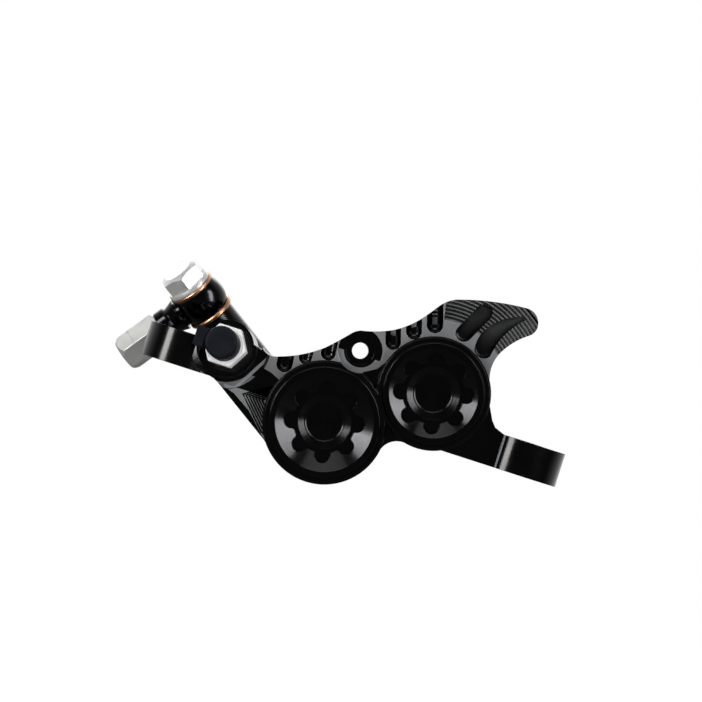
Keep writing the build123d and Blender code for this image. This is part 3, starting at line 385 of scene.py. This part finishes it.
def bodyMaterial():
    made, tree, shader, place = startMaterial("blackAnodisedBody")
    at = findBodyPlaces(tree, place)
    inFin = findFin(tree, at)
    inSlot = findSlots(tree, at)
    # the milled flats get a painted sheen: a lighter, less metallic colour
    milledPaintedSheen = combineAll(tree, "MAXIMUM", atLevel(tree, at["y"], bodyLook["bandLevel"]),
                        maskFin(tree, at, inFin, inSlot), maskSlots(tree, at, inSlot),
                        maskStrut(tree, at), maskPinFace(tree, at, place), maskSweep(tree, at))
    onCutAndPaintedSheen = combine(tree, "MULTIPLY", milledPaintedSheen, above(tree, at["outboard"], bodyLook["cutLean"]))
    # a painted highlight on the spot face's wall by the nipple, fading out downwards
    onPaintedHighlight = maskPaintedHighlight(tree, at)
    # the fin's risers get a painted shade, darker than the body
    inPaintedShade = combine(tree, "MULTIPLY", inFin, between(tree, at["outboard"], bodyLook["riserLean"]))
    tree.links.new(bodyColour(tree, place, inPaintedShade, onCutAndPaintedSheen, onPaintedHighlight), shader.inputs["Base Color"])
    bare = combine(tree, "ADD", combine(tree, "MULTIPLY", onPaintedHighlight, bodyLook["paintedHighlightBare"]),
                   combine(tree, "MULTIPLY", onCutAndPaintedSheen, bodyLook["paintedSheenBare"]))
    metal = combine(tree, "ADD", combine(tree, "MULTIPLY", bare, -1.0), 1.0)
    tree.links.new(metal, shader.inputs["Metallic"])
    gloss = addNoise(tree, place, bodyLook["glossGrain"], bodyLook["gloss"])
    duller = combine(tree, "MULTIPLY", combine(tree, "MAXIMUM", onCutAndPaintedSheen, onPaintedHighlight),
                     bodyLook["cutGloss"])
    tree.links.new(combine(tree, "ADD", duller, gloss), shader.inputs["Roughness"])
    # the slots' floors are shaded round, up to their walls
    facing = blend(tree, "VECTOR", inSlot, addEdge(tree, bodyLook["edge"]),
                   addEdge(tree, bodyLook["hollow"], bodyLook["hollowSamples"]))
    addRelief(tree, shader, bodyHeight(tree, place, at), bodyLook["relief"], facing)
    return made


# a fine ring stands on the socket's floor where the tool stopped, and the cone beyond it is
# shaded flatter than it is cut; both rises count in relief depths
capLook = {"dark": (0.022, 0.022, 0.023), "light": (0.05, 0.05, 0.052), "gloss": (0.1, 0.15),
           "glossGrain": (300, 3), "brushed": 0.5, "edge": 0.15, "pitch": 0.17, "relief": 0.004,
           "ring": 4.0, "ringHalf": 0.2, "ringRise": 24.0, "coneFar": 5.5, "coneRise": -150.0}


def capHeight(tree, place, centre, grooves):
    reach = addReach(tree, place, centre)
    offset = combine(tree, "SUBTRACT", reach, capLook["ring"] * mm)
    gap = combine(tree, "DIVIDE", combine(tree, "ABSOLUTE", offset, 0.0), capLook["ringHalf"] * mm)
    ridge = addRamp(tree, gap, toEnds=(capLook["ringRise"], 0.0))
    cone = addRamp(tree, reach, inMetres((capLook["ring"], capLook["coneFar"])),
                   (0.0, capLook["coneRise"]))
    return combineAll(tree, "ADD", grooves, ridge, cone)


def capMaterial(name, centre):
    made, tree, shader, place = startMaterial(name)
    shader.inputs["Metallic"].default_value = 1.0
    shader.inputs["Anisotropic"].default_value = capLook["brushed"]
    grooves = addTurning(tree, place, centre, capLook["pitch"])
    tree.links.new(mixColours(tree, grooves, capLook["dark"], capLook["light"]),
                   shader.inputs["Base Color"])
    tree.links.new(addNoise(tree, place, capLook["glossGrain"], capLook["gloss"]),
                   shader.inputs["Roughness"])
    addRelief(tree, shader, capHeight(tree, place, centre, grooves), capLook["relief"],
              addEdge(tree, capLook["edge"]))
    tangent = addNode(tree, "Tangent", {"direction_type": "RADIAL", "axis": "Y"})
    tree.links.new(tangent.outputs[0], shader.inputs["Tangent"])
    return made


# look: two colours, two roughness levels, metallic share, relief depth, edge rounding and
# the scale of the grain
fineLooks = {
    "glossBlackFitting": {"dark": (0.02, 0.02, 0.022), "light": (0.045, 0.045, 0.048),
                          "gloss": (0.1, 0.18), "metal": 1.0, "relief": 0.006, "edge": 0.2,
                          "grain": 900},
    "brightSteel": {"dark": (0.64, 0.64, 0.635), "light": (0.76, 0.76, 0.755),
                    "gloss": (0.3, 0.42), "metal": 0.6, "relief": 0.008, "edge": 0.2,
                    "grain": 1200},
    "zincSteel": {"dark": (0.88, 0.88, 0.88), "light": (0.96, 0.96, 0.96),
                  "gloss": (0.3, 0.4), "metal": 0.12, "relief": 0.008, "edge": 0.25,
                  "grain": 1200},
    "brightAlloy": {"dark": (0.89, 0.89, 0.86), "light": (0.97, 0.97, 0.94),
                    "gloss": (0.34, 0.46), "metal": 0.84, "relief": 0.012, "edge": 0.25,
                    "grain": 900},
    "softCopper": {"dark": (0.46, 0.22, 0.12), "light": (0.7, 0.42, 0.28),
                   "gloss": (0.26, 0.4), "metal": 1.0, "relief": 0.01, "edge": 0.15,
                   "grain": 700},
    "turnedBrass": {"dark": (0.55, 0.38, 0.14), "light": (0.78, 0.6, 0.28),
                    "gloss": (0.25, 0.35), "metal": 1.0, "relief": 0.01, "edge": 0.1,
                    "grain": 700},
    "groundPiston": {"dark": (0.56, 0.56, 0.56), "light": (0.72, 0.72, 0.72),
                     "gloss": (0.2, 0.3), "metal": 1.0, "relief": 0.006, "edge": 0.15,
                     "grain": 1500},
    "stampedSpring": {"dark": (0.42, 0.42, 0.43), "light": (0.62, 0.62, 0.63),
                      "gloss": (0.25, 0.4), "metal": 1.0, "relief": 0.01, "edge": 0.1,
                      "grain": 1100},
    "coatedPlate": {"dark": (0.07, 0.07, 0.075), "light": (0.12, 0.12, 0.125),
                    "gloss": (0.4, 0.55), "metal": 0.0, "relief": 0.02, "edge": 0.15,
                    "grain": 1600},
    "frictionLining": {"dark": (0.09, 0.075, 0.06), "light": (0.3, 0.24, 0.18),
                       "gloss": (0.75, 0.9), "metal": 0.0, "relief": 0.06, "edge": 0.1,
                       "grain": 1300},
    "capRubber": {"dark": (0.003, 0.004, 0.006), "light": (0.007, 0.009, 0.014),
                  "gloss": (0.45, 0.6), "metal": 0.0, "relief": 0.012, "edge": 0.25,
                  "grain": 1500, "specular": 0.12},
    "sealRubber": {"dark": (0.012, 0.012, 0.012), "light": (0.03, 0.03, 0.03),
                   "gloss": (0.5, 0.65), "metal": 0.0, "relief": 0.01, "edge": 0.1,
                   "grain": 1500},
}
plainSpecular = 0.5
# how many times coarser than the look's grain each noise is, and its detail
fineSteps = {"shade": (6, 5), "gloss": (3, 4), "relief": (0.5, 3)}


def fineMaterial(name):
    look = fineLooks[name]
    made, tree, shader, place = startMaterial(name)
    grain = {use: (look["grain"] / coarser, detail) for use, (coarser, detail) in fineSteps.items()}
    shader.inputs["Metallic"].default_value = look["metal"]
    shader.inputs["Specular IOR Level"].default_value = look.get("specular", plainSpecular)
    tree.links.new(mixColours(tree, addNoise(tree, place, grain["shade"]), look["dark"],
                              look["light"]), shader.inputs["Base Color"])
    tree.links.new(addNoise(tree, place, grain["gloss"], look["gloss"]),
                   shader.inputs["Roughness"])
    addRelief(tree, shader, addNoise(tree, place, grain["relief"]), look["relief"],
              addEdge(tree, look["edge"]))
    return made


looks = {name: fineMaterial(name) for name in fineLooks}
looks["blackAnodisedBody"] = bodyMaterial()
looks["turnedLargeCap"] = capMaterial("turnedLargeCap", largeBore)
looks["turnedSmallCap"] = capMaterial("turnedSmallCap", smallBore)
print("finishes made")

finishOf = {
    "caliper_body": "blackAnodisedBody",
    "large_bore_cap": "turnedLargeCap",
    "small_bore_cap": "turnedSmallCap",
    "banjo": "glossBlackFitting",
    "banjo_bolt": "brightSteel",
    "bleed_nipple": "zincSteel",
    "hose_connector": "brightAlloy",
    "compression_nut": "brightAlloy",
    "upper_copper_washer": "softCopper",
    "lower_copper_washer": "softCopper",
    "hose_olive": "turnedBrass",
    "pad_spring": "stampedSpring",
    "bleed_cap": "capRubber",
    "bleed_cap_strap": "capRubber",
}
finishEnds = {"_seal": "sealRubber", "_piston": "groundPiston", "_pad_plate": "coatedPlate",
              "_pad_lining": "frictionLining"}


def dressNodes():
    for name, piece in nodes.items():
        finish = finishOf.get(name)
        if finish is None:
            finish = next(f for end, f in finishEnds.items() if name.endswith(end))
        piece.data.materials.clear()
        piece.data.materials.append(looks[finish])


dressNodes()
print("finishes set")

# level is in millimetres, half in metres; reflections see a darker floor, as in a room
# that is dim below the softboxes
floorLook = {"level": -60.0, "half": 0.8, "dark": (0.86, 0.86, 0.86), "light": (0.88, 0.88, 0.88),
             "grain": (6, 2), "roughness": 0.9, "glow": 0.8, "mirrored": (0.1, 0.1, 0.1)}


def floorMaterial():
    made, tree, shader, place = startMaterial("paleFloor")
    shade = addNoise(tree, place, floorLook["grain"])
    tree.links.new(mixColours(tree, shade, floorLook["dark"], floorLook["light"]),
                   shader.inputs["Base Color"])
    shader.inputs["Roughness"].default_value = floorLook["roughness"]
    path = addNode(tree, "LightPath")
    glow = addNode(tree, "Emission", Strength=floorLook["glow"])
    lit = addNode(tree, "AddShader")
    tree.links.new(shader.outputs[0], lit.inputs[0])
    tree.links.new(glow.outputs[0], lit.inputs[1])
    mirrored = addNode(tree, "BsdfDiffuse", Color=(*floorLook["mirrored"], 1))
    unseen = mixShaders(tree, path.outputs["Is Glossy Ray"], shader.outputs[0], mirrored.outputs[0])
    out = next(n for n in tree.nodes if n.bl_idname == "ShaderNodeOutputMaterial")
    tree.links.new(mixShaders(tree, path.outputs["Is Camera Ray"], unseen, lit.outputs[0]),
                   out.inputs["Surface"])
    return made


def addFloor():
    half = floorLook["half"]
    level = floorLook["level"] * mm
    mesh = bpy.data.meshes.new("studioFloor")
    corners = [(-half, -half, level), (half, -half, level), (half, half, level),
               (-half, half, level)]
    mesh.from_pydata(corners, [], [(0, 1, 2, 3)])
    mesh.materials.append(floorMaterial())
    floor = bpy.data.objects.new("studioFloor", mesh)
    bpy.context.scene.collection.objects.link(floor)


addFloor()
bpy.context.scene.view_settings.view_transform = "Standard"
print("floor set")
